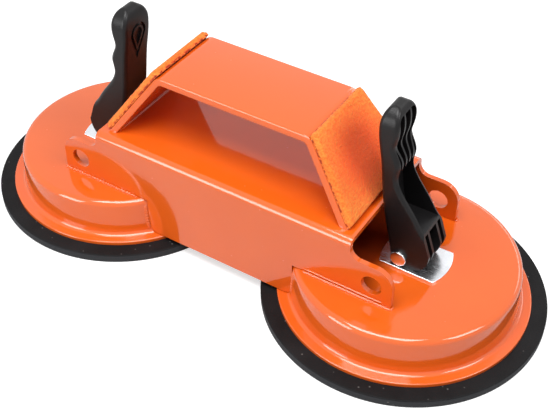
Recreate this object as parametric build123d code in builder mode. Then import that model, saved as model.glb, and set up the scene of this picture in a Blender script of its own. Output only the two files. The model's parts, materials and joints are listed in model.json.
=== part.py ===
from build123d import *
import os
from math import asin, atan2, cos, hypot, pi, sin, sqrt

os.makedirs("parts", exist_ok=True)

# Double suction cup lifter, in millimetres. X runs from cup to cup, the levers swing in the
# XZ plane, Z is up, and z = 0 is the surface that the two rubber discs are pressed on.
# The origin lies on that surface, midway between the cups.

# Layout
lever_standoff = 14.7
lever_lift = 8.5

# Clearances
rest_gap = 0.10
weld_gap = 0.20
slide_gap = 0.30
pin_gap = 0.05
cam_gap = 0.05

# Rubber disc
disc_diameter = 118.0
disc_thickness = 3.9
disc_edge_round = 0.5
recess_radius = 43.0
recess_depth = 0.6
lip_groove_radii = (47.5, 51.5)
lip_groove_width = 1.4
collar_width = 3.0
collar_height = 2.2

# Anchor plate and pull stud
anchor_diameter = 68.0
anchor_thickness = 3.0
anchor_chamfer = 0.6
stud_boss_diameter = 16.0
stud_boss_height = 2.5
stud_width = 7.6
stud_thickness = 5.0

# Lever pin
pin_diameter = 4.0
pin_head_diameter = 6.9
pin_head_height = 1.5
pin_rivet_diameter = 5.6
pin_rivet_height = 1.1
pin_edge_round = 0.35

# Return spring
spring_diameter = 25.0
spring_wire = 1.5
spring_turns = 2.25

# Cup cover, one pressed sheet
cover_sheet = 1.6
cover_flange_diameter = 104.6
cover_foot_diameter = 94.8
cover_top_diameter = 92.6
cover_height = 18.7
cover_edge_round = 2.6
cover_cove_round = 1.8
flange_edge_round = 0.5

# Wear plate under the lever's foot
wear_thickness = 1.1
wear_width = 19.5
wear_inner_reach = 9.7
wear_outer_reach = 18.3
wear_end_bow = 2.4
wear_chamfer = 0.2

# Channel, one folded sheet
channel_sheet = 2.2
channel_width = 60.6
channel_rise = 25.9
channel_bend = 3.2
web_margin = 4.0
skirt_tuck = 1.05
skirt_corner = 4.0
skirt_gap = 0.4
ear_reach = 18.8
ear_rise = 17.7
ear_corner = 8.0
ear_neck = 4.5
eye_diameter = 8.8
eye_inset = 8.8
eye_rise = 8.2

# Carrying handle, one folded sheet
handle_sheet = 2.9
handle_rise = 30.6
handle_foot_length = 114.0
handle_top_length = 70.8
handle_foot_width = 51.0
handle_top_width = 36.6
handle_bend = 5.5

# Grip pads on the handle's legs
pad_thickness = 3.2
pad_foot_gap = 0.4
pad_overhang = 0.6

# Weld beads
bead_radius = 1.7
handle_bead_radius = 1.5
bead_inset = 2.5

# Lever, given about its pin: u is outward from the handle, w is up the lever
lever_width = 16.0
lever_head_width = 16.6
lever_waist_width = 15.8
foot_depth = 3.8
heel_reach = 3.6
foot_face_top = (8.6, 15.8)
grip_points = ((4.5, 21.8), (0.4, 27.4), (-2.6, 31.8), (-4.6, 37.6), (-4.1, 43.4), (-6.7, 50.2))
head_bulge = (-5.8, 58.4)
head_top = (-10.4, 66.6)
head_back = (-14.0, 58.8)
back_points = ((-12.3, 45.0), (-10.4, 28.8), (-7.2, 12.4))
head_flat = 0.5
hip_height = 6.0
rim_round = 1.8
lever_wall = 1.6
back_wall = 2.3
cross_wall = 1.4
rib_count = 4
rib_thickness = 1.0
rib_pitch = (3.0, 4.7)
rib_fan = (43.0, 57.0)
rib_start = (39.8, 44.0)
head_cap = 2.7
head_cap_round = 2.5
fork_height = 5.4
fork_wall = 1.4
pocket_start = 4.2
pocket_floor = 2.2
emblem_middle = 50.8
emblem_length = 18.0
emblem_width = 9.6
emblem_depth = 0.7
emblem_ring = 0.9
emblem_land = 1.4

# Heights and places that follow from the sizes above
cup_x = handle_foot_length / 2 + lever_standoff
web_length = handle_foot_length + 2 * web_margin
ear_length = web_length + 2 * ear_reach
eye_spacing = ear_length - 2 * eye_inset
disc_radius = disc_diameter / 2
anchor_radius = anchor_diameter / 2
anchor_top = disc_thickness + rest_gap + anchor_thickness
flange_top = disc_thickness + cover_sheet
cover_top = disc_thickness + cover_height
wear_top = cover_top + wear_thickness
pin_height = wear_top + cam_gap + foot_depth
pin_radius = pin_diameter / 2
web_top = cover_top + channel_rise
ear_bottom = cover_top + weld_gap
skirt_bottom = flange_top + skirt_gap
eye_height = cover_top + eye_rise
half_width = channel_width / 2
handle_top = web_top + handle_rise
slot_length = stud_width + 2 * slide_gap
slot_width = stud_thickness + 2 * slide_gap
cam_rate = lever_lift / (pi / 2)
leg_run = (handle_foot_length - handle_top_length) / 2
leg_length = hypot(leg_run, handle_rise)
leg_slope = atan2(handle_rise, leg_run)

sides = {"left": -1, "right": 1}


def finish(piece, name):
    """Labels the piece and writes it to its own file."""
    piece.part.label = name
    export_step(piece.part, f"parts/{name}.step")


def cup_plane(side):
    """Vertical plane through a cup's axis: local x is the cup's radius, local y is height."""
    return Plane(origin=(side * cup_x, 0, 0), x_dir=(1, 0, 0), z_dir=(0, -1, 0))


def cup_axis(side):
    return Axis((side * cup_x, 0, 0), (0, 0, 1))


def build_rubber_disc(side, name):
    """Flat disc with a shallow suction face, two sealing lips and a collar for the anchor plate."""
    collar_inner = anchor_radius + rest_gap
    collar_outer = collar_inner + collar_width
    collar_top = disc_thickness + collar_height
    with BuildPart() as disc:
        with BuildSketch(cup_plane(side)) as profile:
            with BuildLine():
                Polyline(
                    (0, recess_depth),
                    (recess_radius, recess_depth),
                    (recess_radius + recess_depth, 0),
                    (disc_radius, 0),
                    (disc_radius, disc_thickness),
                    (collar_outer, disc_thickness),
                    (collar_outer, collar_top),
                    (collar_inner, collar_top),
                    (collar_inner, disc_thickness),
                    (0, disc_thickness),
                    close=True,
                )
            make_face()
            fillet(profile.vertices().group_by(Axis.X)[-1], disc_edge_round)
            for radius in lip_groove_radii:
                with Locations((radius, 0)):
                    Circle(lip_groove_width / 2, mode=Mode.SUBTRACT)
        revolve(axis=cup_axis(side))
    finish(disc, name)


def build_anchor_plate(side, name):
    """Steel plate bonded to the middle of the rubber disc."""
    with BuildPart() as plate:
        with BuildSketch(Plane.XY.offset(disc_thickness + rest_gap)):
            with Locations((side * cup_x, 0)):
                Circle(anchor_radius)
        extrude(amount=anchor_thickness)
        chamfer(plate.edges().filter_by(GeomType.CIRCLE), anchor_chamfer)
    finish(plate, name)


def build_pull_stud(side, name):
    """Flat-sided stud with a round eye for the lever pin, on a boss welded to the anchor plate."""
    with BuildPart() as stud:
        with BuildSketch(Plane.XY.offset(anchor_top)):
            with Locations((side * cup_x, 0)):
                Circle(stud_boss_diameter / 2)
        extrude(amount=stud_boss_height)
        with BuildSketch(cup_plane(side)):
            with Locations((0, anchor_top)):
                Rectangle(stud_width, pin_height - anchor_top, align=(Align.CENTER, Align.MIN))
            with Locations((0, pin_height)):
                Circle(stud_width / 2)
                Circle(pin_radius + pin_gap, mode=Mode.SUBTRACT)
        extrude(amount=stud_thickness / 2, both=True)
    finish(stud, name)


def build_lever_pin(side, name):
    """Cross pin through the lever's fork: a flat head on the near side, a rivet on the far side."""
    head_seat = lever_width / 2 + pin_gap
    with BuildPart() as pin:
        with BuildSketch(cup_plane(side)):
            with Locations((0, pin_height)):
                Circle(pin_radius)
        extrude(amount=head_seat + pin_head_height / 2, both=True)
        with BuildSketch(cup_plane(side).offset(head_seat)):
            with Locations((0, pin_height)):
                Circle(pin_head_diameter / 2)
        extrude(amount=pin_head_height)
        with BuildSketch(cup_plane(side).offset(-head_seat)):
            with Locations((0, pin_height)):
                Circle(pin_rivet_diameter / 2)
        extrude(amount=-pin_rivet_height)
        outer_rims = pin.faces().sort_by(Axis.Y)[0].edges() + pin.faces().sort_by(Axis.Y)[-1].edges()
        fillet(outer_rims, pin_edge_round)
    finish(pin, name)


def build_return_spring(side, name):
    """Coil spring round the stud, from the anchor plate up to the underside of the cover."""
    room = cover_top - cover_sheet - anchor_top - 2 * rest_gap - spring_wire
    coil_radius = (spring_diameter - spring_wire) / 2
    start = anchor_top + rest_gap + spring_wire / 2
    with BuildPart() as spring:
        with BuildLine():
            coil = Helix(
                pitch=room / spring_turns,
                height=room,
                radius=coil_radius,
                center=(side * cup_x, 0, start),
            )
        with BuildSketch(Plane(origin=coil @ 0, z_dir=coil % 0)):
            Circle(spring_wire / 2)
        sweep(path=coil, is_frenet=True)
    finish(spring, name)


def cover_corner(height):
    """How far from the middle the skirts' outer faces meet the cover's sloping side, at a height."""
    share = (height - flange_top) / (cover_top - flange_top)
    slope = (cover_top_diameter - cover_foot_diameter) / 2
    radius = cover_foot_diameter / 2 + weld_gap + share * slope
    return cup_x - sqrt(radius**2 - half_width**2)


def cover_envelope(side, grow):
    """Solid inside the cover's outer faces, grown by a clearance: top, rim, side, cove, flange."""
    rim = (cover_top_diameter / 2 + grow, cover_top + grow)
    foot = (cover_foot_diameter / 2 + grow, flange_top + grow)
    edge = (cover_flange_diameter / 2 + grow, flange_top + grow)
    with BuildPart() as envelope:
        with BuildSketch(cup_plane(side)) as half:
            with BuildLine():
                Polyline(
                    (0, disc_thickness),
                    (0, rim[1]),
                    rim,
                    foot,
                    edge,
                    (edge[0], disc_thickness),
                    close=True,
                )
            make_face()
            fillet(half.vertices().sort_by_distance(rim)[0], cover_edge_round + grow)
            fillet(half.vertices().sort_by_distance(foot)[0], cover_cove_round - grow)
            fillet(half.vertices().sort_by_distance(edge)[0], flange_edge_round + grow)
        revolve(axis=cup_axis(side))
    return envelope.part


def build_cup_cover(side, name):
    """Pressed round cover: flat top, rounded rim, slightly conical side, cove and flat flange."""
    envelope = cover_envelope(side, 0)
    inner_top = (cover_top_diameter / 2 - cover_sheet, cover_top - cover_sheet)
    inner_foot = (cover_foot_diameter / 2 - cover_sheet, disc_thickness)
    with BuildPart() as cover:
        add(envelope)
        with BuildSketch(cup_plane(side)) as hollow:
            with BuildLine():
                Polyline(
                    (0, disc_thickness),
                    (0, inner_top[1]),
                    inner_top,
                    inner_foot,
                    close=True,
                )
            make_face()
            fillet(hollow.vertices().sort_by_distance(inner_top)[0], cover_edge_round - cover_sheet)
        revolve(axis=cup_axis(side), mode=Mode.SUBTRACT)
        with BuildSketch(Plane.XY.offset(cover_top)):
            with Locations((side * cup_x, 0)):
                Rectangle(slot_length, slot_width)
        extrude(amount=-2 * cover_sheet, mode=Mode.SUBTRACT)
    finish(cover, name)


def build_wear_plate(side, name):
    """Polished plate with bowed ends, slotted for the stud; the lever's foot rides on it."""
    half = wear_width / 2
    inner = side * (cup_x - wear_inner_reach)
    outer = side * (cup_x + wear_outer_reach)
    bow = side * wear_end_bow
    with BuildPart() as plate:
        with BuildSketch(Plane.XY.offset(cover_top)):
            with BuildLine():
                Line((inner + bow, half), (outer - bow, half))
                ThreePointArc((outer - bow, half), (outer, 0), (outer - bow, -half))
                Line((outer - bow, -half), (inner + bow, -half))
                ThreePointArc((inner + bow, -half), (inner, 0), (inner + bow, half))
            make_face()
            with Locations((side * cup_x, 0)):
                Rectangle(slot_length, slot_width, mode=Mode.SUBTRACT)
        extrude(amount=wear_thickness)
        chamfer(plate.faces().sort_by(Axis.Z)[-1].outer_wire().edges(), wear_chamfer)
    finish(plate, name)


def skirt_and_ear_outline():
    """Side view of the channel's flank: skirt between the cups, ears over the covers, web on top."""
    skirt = cover_corner(flange_top) + skirt_tuck
    ear = ear_length / 2
    web = web_length / 2
    ear_top = cover_top + ear_rise
    half = [
        (skirt, skirt_bottom),
        (skirt, ear_bottom),
        (ear, ear_bottom),
        (ear, ear_top),
        (web, ear_top),
        (web, web_top),
    ]
    return half + [(-x, z) for x, z in reversed(half)]


def build_channel():
    """Folded sheet channel: a web on top, two flanks that end in ears standing on the covers."""
    inner_width = channel_width - 2 * channel_sheet
    ear_top = cover_top + ear_rise
    envelopes = [cover_envelope(side, weld_gap) for side in sides.values()]
    with BuildPart() as channel:
        with BuildSketch(Plane.YZ.offset(-ear_length / 2)) as section:
            with Locations((0, web_top)):
                Rectangle(channel_width, web_top - skirt_bottom, align=(Align.CENTER, Align.MAX))
            fillet(section.vertices().group_by(Axis.Y)[-1], channel_bend)
        extrude(amount=ear_length)
        with BuildSketch(Plane.YZ.offset(-ear_length / 2)) as bore:
            with Locations((0, web_top - channel_sheet)):
                Rectangle(inner_width, web_top - skirt_bottom, align=(Align.CENTER, Align.MAX))
            fillet(bore.vertices().group_by(Axis.Y)[-1], channel_bend - channel_sheet)
        extrude(amount=ear_length, mode=Mode.SUBTRACT)
        with BuildSketch(Plane.XZ) as flank:
            with BuildLine():
                Polyline(*skirt_and_ear_outline(), close=True)
            make_face()
            for side in (-1, 1):
                corner = (side * (cover_corner(flange_top) + skirt_tuck), skirt_bottom)
                fillet(flank.vertices().sort_by_distance(corner)[0], skirt_corner)
                corner = (side * ear_length / 2, ear_top)
                fillet(flank.vertices().sort_by_distance(corner)[0], ear_corner)
                corner = (side * web_length / 2, ear_top)
                fillet(flank.vertices().sort_by_distance(corner)[0], ear_neck)
        extrude(amount=channel_width, both=True, mode=Mode.INTERSECT)
        with BuildSketch(Plane.XZ):
            with GridLocations(eye_spacing, 1, 2, 1):
                with Locations((0, eye_height)):
                    Circle(eye_diameter / 2)
        extrude(amount=channel_width, both=True, mode=Mode.SUBTRACT)
        add(envelopes, mode=Mode.SUBTRACT)
    finish(channel, "channel")


def handle_front_outline(extra):
    """Front view of the handle: wide where it stands on the web, narrow along the grip."""
    foot = handle_foot_width / 2
    top = handle_top_width / 2
    return [
        (foot, web_top),
        (top, handle_top),
        (top, handle_top + extra),
        (-top, handle_top + extra),
        (-top, handle_top),
        (-foot, web_top),
    ]


def build_handle():
    """Folded strip: level grip on two sloping legs that widen down to the web."""
    foot = handle_foot_length / 2
    top = handle_top_length / 2
    across = handle_sheet / sin(leg_slope)
    inset = handle_sheet * (1 - cos(leg_slope)) / sin(leg_slope)
    inner_top = (top - inset, handle_top - handle_sheet)
    outer = [(-foot, web_top), (-top, handle_top), (top, handle_top), (foot, web_top)]
    inner = [
        (-foot + across, web_top),
        (-inner_top[0], inner_top[1]),
        inner_top,
        (foot - across, web_top),
    ]
    with BuildPart() as handle:
        with BuildSketch(Plane.XZ) as strip:
            with BuildLine():
                Polyline(*outer, close=True)
            make_face()
            fillet(strip.vertices().group_by(Axis.Y)[-1], handle_bend)
        extrude(amount=handle_foot_width, both=True)
        with BuildSketch(Plane.XZ) as opening:
            with BuildLine():
                Polyline(*inner, close=True)
            make_face()
            fillet(opening.vertices().group_by(Axis.Y)[-1], handle_bend - handle_sheet)
        extrude(amount=handle_foot_width, both=True, mode=Mode.SUBTRACT)
        with BuildSketch(Plane.YZ):
            with BuildLine():
                Polyline(*handle_front_outline(handle_sheet), close=True)
            make_face()
        extrude(amount=handle_foot_length, both=True, mode=Mode.INTERSECT)
    finish(handle, "handle")


def leg_point(side, along, out):
    """Point measured up a leg's outer face from the web, and out from that face."""
    x = handle_foot_length / 2 - along * cos(leg_slope) + out * sin(leg_slope)
    z = web_top + along * sin(leg_slope) + out * cos(leg_slope)
    return (side * x, z)


def build_handle_pad(side, name):
    """Soft pad glued to a leg's outer face, tapered like the leg, with soft corners."""
    inner = rest_gap
    outer = rest_gap + pad_thickness
    low = (pad_foot_gap - rest_gap * cos(leg_slope)) / sin(leg_slope)
    high = leg_length + pad_overhang
    with BuildPart() as pad:
        with BuildSketch(Plane.XZ):
            with BuildLine():
                Polyline(
                    leg_point(side, low, inner),
                    leg_point(side, high, inner),
                    leg_point(side, high, outer),
                    leg_point(side, low, outer),
                    close=True,
                )
            make_face()
        extrude(amount=handle_foot_width, both=True)
        with BuildSketch(Plane.YZ):
            with BuildLine():
                Polyline(*handle_front_outline(2 * pad_thickness), close=True)
            make_face()
        extrude(amount=handle_foot_length, both=True, mode=Mode.INTERSECT)
    finish(pad, name)


def build_channel_welds():
    """Four beads where the skirts meet the sloping sides of the covers."""
    low = flange_top + cover_cove_round
    high = cover_top - cover_edge_round
    envelopes = [cover_envelope(side, rest_gap) for side in sides.values()]
    with BuildPart() as welds:
        for side in (-1, 1):
            for flank in (-half_width, half_width):
                with BuildSketch(Plane.XY.offset(low)):
                    with Locations((side * cover_corner(low), flank)):
                        Circle(bead_radius)
                with BuildSketch(Plane.XY.offset(high)):
                    with Locations((side * cover_corner(high), flank)):
                        Circle(bead_radius)
                loft()
        with BuildSketch(Plane.XY.offset(low)):
            Rectangle(2 * cup_x, channel_width + 2 * rest_gap)
        extrude(amount=high - low, mode=Mode.SUBTRACT)
        add(envelopes, mode=Mode.SUBTRACT)
    finish(welds, "channel_welds")


def build_handle_welds():
    """Two beads along the inner corners between the handle's legs and the web."""
    inner_foot = handle_foot_length / 2 - handle_sheet / sin(leg_slope)
    half_run = (handle_foot_width - 2 * bead_inset) / 2
    with BuildPart() as welds:
        for side in (-1, 1):
            toe = (side * (inner_foot - rest_gap / sin(leg_slope)), web_top + rest_gap / 2)
            rise = (toe[0] - side * handle_bead_radius * cos(leg_slope),
                    toe[1] + handle_bead_radius * sin(leg_slope))
            reach = (toe[0] - side * handle_bead_radius, toe[1])
            with BuildSketch(Plane.XZ):
                with BuildLine():
                    Line(toe, rise)
                    SagittaArc(rise, reach, -side * handle_bead_radius * 0.12)
                    Line(reach, toe)
                make_face()
            extrude(amount=half_run, both=True)
    finish(welds, "handle_welds")


def cam_point(turn):
    """Foot outline that rolls the pin up evenly: its reach grows in step with the lever's turn."""
    reach = foot_depth + cam_rate * turn
    u = reach * sin(turn) + cam_rate * cos(turn)
    w = cam_rate * sin(turn) - reach * cos(turn)
    return (u, w)


def lever_point(side, point):
    """Lever coordinates to the cup's vertical plane."""
    return (side * point[0], pin_height + point[1])


def lever_points(side, points):
    return [lever_point(side, point) for point in points]


def lever_outline(side):
    """Side view of the lever: flat sole, rolling cam, sloping foot, finger grip, head and back."""
    cam = [cam_point(step * pi / 12) for step in range(7)]
    heel = (-heel_reach, -foot_depth)
    Line(lever_point(side, heel), lever_point(side, cam[0]))
    Spline(*lever_points(side, cam), tangents=[(side, 0), (0, 1)], tangent_scalars=[1, 1])
    Line(lever_point(side, cam[-1]), lever_point(side, foot_face_top))
    Spline(*lever_points(side, (foot_face_top, *grip_points, head_bulge)), tangents=[(-side, 1.1), (0, 1)])
    Spline(*lever_points(side, (head_bulge, head_top, head_back)), tangents=[(0, 1), (0, -1)])
    Spline(*lever_points(side, (head_back, *back_points, heel)), tangents=[(0, -1), (side * 0.15, -1)])


def lever_front_outline():
    """Front view of the lever: upright cheeks at the foot, a slight waist and a round head."""
    foot = lever_width / 2
    waist = lever_waist_width / 2
    head = lever_head_width / 2
    low = pin_height - 2 * foot_depth
    hip = pin_height + hip_height
    neck = pin_height + grip_points[3][1]
    crown = pin_height + head_top[1] + head_flat
    dome = crown - head
    Line((-foot, hip), (-foot, low))
    Line((-foot, low), (foot, low))
    Line((foot, low), (foot, hip))
    Spline((foot, hip), (waist, neck), (head, dome), tangents=[(0, 1), (0, 1)])
    ThreePointArc((head, dome), (0, crown), (-head, dome))
    Spline((-head, dome), (-waist, neck), (-foot, hip), tangents=[(0, -1), (0, -1)])


def lever_solid_point(side, point, y):
    return (side * (cup_x + point[0]), y, pin_height + point[1])


def rib_plates(side):
    """Upright plates that fan out towards the head, cut off along a slanted line at their feet."""
    low = pin_height + foot_face_top[1]
    high = pin_height + head_top[1]
    fan = [pin_height + height for height in rib_fan]
    past = head_top[1]
    with BuildPart() as ribs:
        with BuildSketch(Plane.YZ):
            for index in range(rib_count):
                place = index - (rib_count - 1) / 2
                near = [place * pitch - rib_thickness / 2 for pitch in rib_pitch]
                far = [y + rib_thickness for y in near]
                with BuildLine():
                    Polyline((far[0], fan[0]), (far[0], low), (near[0], low), (near[0], fan[0]))
                    Spline((near[0], fan[0]), (near[1], fan[1]), tangents=[(0, 1), (0, 1)])
                    Polyline((near[1], fan[1]), (near[1], high), (far[1], high), (far[1], fan[1]))
                    Spline((far[1], fan[1]), (far[0], fan[0]), tangents=[(0, -1), (0, -1)])
                make_face()
        extrude(amount=2 * cup_x, both=True)
        with BuildSketch(cup_plane(side)):
            with BuildLine():
                Polyline(
                    lever_point(side, (past, rib_start[0])),
                    lever_point(side, (grip_points[2][0], rib_start[0])),
                    lever_point(side, (back_points[0][0], rib_start[1])),
                    lever_point(side, (-past, rib_start[1])),
                    lever_point(side, (-past, 2 * past)),
                    lever_point(side, (past, 2 * past)),
                    close=True,
                )
            make_face()
        extrude(amount=lever_head_width, both=True, mode=Mode.INTERSECT)
    return ribs.part


def lever_hollow(side):
    """Open hollow in front of the back wall, from the cross wall up to the cap, less the ribs."""
    ribs = rib_plates(side)
    half = lever_waist_width / 2 - lever_wall
    base = foot_face_top[1]
    cap = head_top[1] - head_cap
    past = head_top[1]
    back = [(head_top[0], cap), *[(u + back_wall, w) for u, w in (head_back, *back_points)]]
    with BuildPart() as hollow:
        with BuildSketch(cup_plane(side)):
            with BuildLine():
                Spline(*lever_points(side, back))
                Polyline(*lever_points(side, (back[-1], (past, back[-1][1]), (past, cap), back[0])))
            make_face()
        extrude(amount=half, both=True)
        with BuildSketch(Plane.YZ) as front:
            with Locations((0, pin_height + base)):
                Rectangle(2 * half, cap - base, align=(Align.CENTER, Align.MIN))
            fillet(front.vertices().group_by(Axis.Y)[-1], head_cap_round)
        extrude(amount=2 * cup_x + past, both=True, mode=Mode.INTERSECT)
        add(ribs, mode=Mode.SUBTRACT)
    return hollow.part


def emblem_recess(side):
    """Shallow drop-shaped recess for the lever's back face, with one concentric ring left proud."""
    radius = emblem_width / 2
    taper = asin(radius / (emblem_length - radius))
    middle = emblem_length / 2 - radius
    top = head_back
    low = back_points[0]
    run = (top[0] - low[0], top[1] - low[1])
    share = (emblem_middle - low[1]) / run[1]
    origin = lever_solid_point(side, (low[0] + share * run[0], emblem_middle), 0)
    face = Plane(origin=origin, x_dir=(0, -side, 0), z_dir=(-side * run[1], 0, run[0]))
    steps = ((0, Mode.ADD), (emblem_land, Mode.SUBTRACT), (emblem_land + emblem_ring, Mode.ADD))
    with BuildPart() as recess:
        with BuildSketch(face.offset(-emblem_depth)):
            for shrink, mode in steps:
                bow = radius - shrink
                tip = (0, middle - bow / sin(taper))
                flank = (bow * cos(taper), middle - bow * sin(taper))
                with BuildLine():
                    Line(tip, flank)
                    ThreePointArc(flank, (0, middle + bow), (-flank[0], flank[1]))
                    Line((-flank[0], flank[1]), tip)
                make_face(mode=mode)
        extrude(amount=emblem_width)
    return recess.part


def lever_body(side):
    """Moulded lever: forked cam foot, open hollow, finger ribs in the head, rounded back."""
    plane = cup_plane(side)
    head = lever_head_width / 2
    fork_half = slot_width / 2
    cheek_half = lever_width / 2 - lever_wall
    past = foot_face_top[0] + foot_depth
    wall_top = foot_face_top[1] - cross_wall
    fork = [(-past, -past), (past, -past), (past, fork_height), (-past, fork_height)]
    pocket = [
        (pocket_start, pocket_floor),
        (2 * past, pocket_floor),
        (2 * past, wall_top),
        (pocket_start, wall_top),
    ]
    pocket_near = fork_half + fork_wall
    foot_cuts = [
        (fork, -fork_half, fork_half),
        (pocket, -fork_half, fork_half),
        (pocket, pocket_near, cheek_half),
        (pocket, -cheek_half, -pocket_near),
    ]
    hollow = lever_hollow(side)
    recess = emblem_recess(side)
    with BuildPart() as lever:
        with BuildSketch(plane.offset(-head)):
            with BuildLine():
                lever_outline(side)
            make_face()
        extrude(amount=lever_head_width)
        with BuildSketch(Plane.YZ):
            with BuildLine():
                lever_front_outline()
            make_face()
        extrude(amount=2 * cup_x, both=True, mode=Mode.INTERSECT)
        # Both long rims run from the hip over the head to the foot; the heels and the foot's brow join them
        rims = list(lever.edges().sort_by(SortBy.LENGTH)[-2:])
        heel = (-heel_reach, foot_depth / 4)
        for probe, y in ((heel, -lever_width / 2), (heel, lever_width / 2), (foot_face_top, 0)):
            rims.append(lever.edges().sort_by_distance(lever_solid_point(side, probe, y))[0])
        fillet(rims, rim_round)
        add(hollow, mode=Mode.SUBTRACT)
        add(recess, mode=Mode.SUBTRACT)
        # Slot for the stud through the fork, and the pockets that core out the foot
        for outline, start, end in foot_cuts:
            with BuildSketch(plane.offset(start)):
                with BuildLine():
                    Polyline(*lever_points(side, outline), close=True)
                make_face()
            extrude(amount=end - start, mode=Mode.SUBTRACT)
        with BuildSketch(plane):
            with Locations(lever_point(side, (0, 0))):
                Circle(pin_radius + pin_gap)
        extrude(amount=lever_width, both=True, mode=Mode.SUBTRACT)
    return lever.part


def build_lever(side, name):
    """Lever of one cup; the left lever is the right one's mirror image."""
    body = lever_body(sides["right"])
    with BuildPart() as lever:
        add(body)
        if side == sides["left"]:
            mirror(about=Plane.YZ, mode=Mode.REPLACE)
    finish(lever, name)


for side_name, side in sides.items():
    build_rubber_disc(side, f"rubber_disc_{side_name}")
    build_anchor_plate(side, f"anchor_plate_{side_name}")
    build_pull_stud(side, f"pull_stud_{side_name}")
    build_lever_pin(side, f"lever_pin_{side_name}")
    build_return_spring(side, f"return_spring_{side_name}")
    build_cup_cover(side, f"cup_cover_{side_name}")
    build_wear_plate(side, f"wear_plate_{side_name}")
    build_handle_pad(side, f"handle_pad_{side_name}")
    build_lever(side, f"lever_{side_name}")

build_channel()
build_handle()
build_channel_welds()
build_handle_welds()
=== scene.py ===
"""Looks for a double suction cup lifter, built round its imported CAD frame."""

import json
import math

import bmesh
import bpy
import numpy as np
from bpy.props import FloatProperty, FloatVectorProperty, IntProperty, PointerProperty
from mathutils import Matrix, Vector


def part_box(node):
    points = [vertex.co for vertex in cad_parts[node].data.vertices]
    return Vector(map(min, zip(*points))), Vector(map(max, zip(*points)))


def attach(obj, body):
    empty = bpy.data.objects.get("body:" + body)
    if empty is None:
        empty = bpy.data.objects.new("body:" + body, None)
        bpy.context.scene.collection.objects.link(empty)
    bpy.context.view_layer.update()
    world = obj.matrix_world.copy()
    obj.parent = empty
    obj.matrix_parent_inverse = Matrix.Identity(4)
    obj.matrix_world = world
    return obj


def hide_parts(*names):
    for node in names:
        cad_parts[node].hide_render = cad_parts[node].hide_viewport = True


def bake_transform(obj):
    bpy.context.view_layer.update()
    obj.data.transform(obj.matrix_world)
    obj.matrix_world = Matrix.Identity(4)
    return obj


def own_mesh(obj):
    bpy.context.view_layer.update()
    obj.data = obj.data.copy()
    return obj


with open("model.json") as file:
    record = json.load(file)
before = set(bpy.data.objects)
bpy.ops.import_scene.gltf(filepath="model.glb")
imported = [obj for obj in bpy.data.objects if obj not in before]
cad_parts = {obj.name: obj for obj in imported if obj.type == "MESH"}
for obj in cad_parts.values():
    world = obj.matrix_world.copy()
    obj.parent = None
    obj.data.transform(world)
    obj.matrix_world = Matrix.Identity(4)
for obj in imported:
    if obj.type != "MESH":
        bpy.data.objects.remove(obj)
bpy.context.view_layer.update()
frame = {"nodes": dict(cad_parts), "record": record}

bl_info = {
    "name": "Double suction cup lifter",
    "version": (1, 0, 0),
    "blender": (4, 5, 0),
    "location": "3D View > Sidebar > Lifter",
    "description": "Surfaces and finishes for a hand lifter with two suction cups",
    "category": "Add Mesh",
}

SIDES = {"left": -1.0, "right": 1.0}
JOINTS = {joint["name"]: joint for joint in frame["record"]["behaviour"]["joints"]}
DISC_LOW, DISC_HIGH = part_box("rubber_disc_right")
COVER_LOW, COVER_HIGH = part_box("cup_cover_right")
PLATE_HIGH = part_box("anchor_plate_right")[1]
HANDLE_LOW, HANDLE_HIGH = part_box("handle")
CHANNEL_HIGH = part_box("channel")[1]
PIN_LOW, PIN_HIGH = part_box("lever_pin_right")
SPRING_LOW, SPRING_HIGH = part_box("return_spring_right")
CUP_X = (DISC_LOW.x + DISC_HIGH.x) / 2
PIN_Z = JOINTS["lever_turn_right"]["pos_m"][2]

# Radii on a cover's top: where its slot has become a circle, and one more ring of faces
SLOT_FADE, TOP_RING = 0.012, 0.025
# Radii of the grooves between the rubber's sealing lips, and of a ring of faces under and over
GROOVES = (0.0475, 0.0515)
UNDER_RING, OVER_RING = 0.0535, 0.055
# Where the camera looks, and where the lamps point
LOOK_AT = Vector((0.009962, -0.001391, 0.020))
LAMP_AIM = Vector((0.0, 0.0, 0.03))


# Sizes and colours

def length(name, default, description, high=1.0):
    return FloatProperty(name=name, default=default, description=description, min=0.0, max=high,
                         unit="LENGTH", precision=5)


def power(name, default, description):
    return FloatProperty(name=name, default=default, description=description, unit="POWER")


def colour(name, default, description):
    return FloatVectorProperty(name=name, default=default, description=description, size=3,
                               min=0.0, max=1.0, subtype="COLOR")


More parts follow.
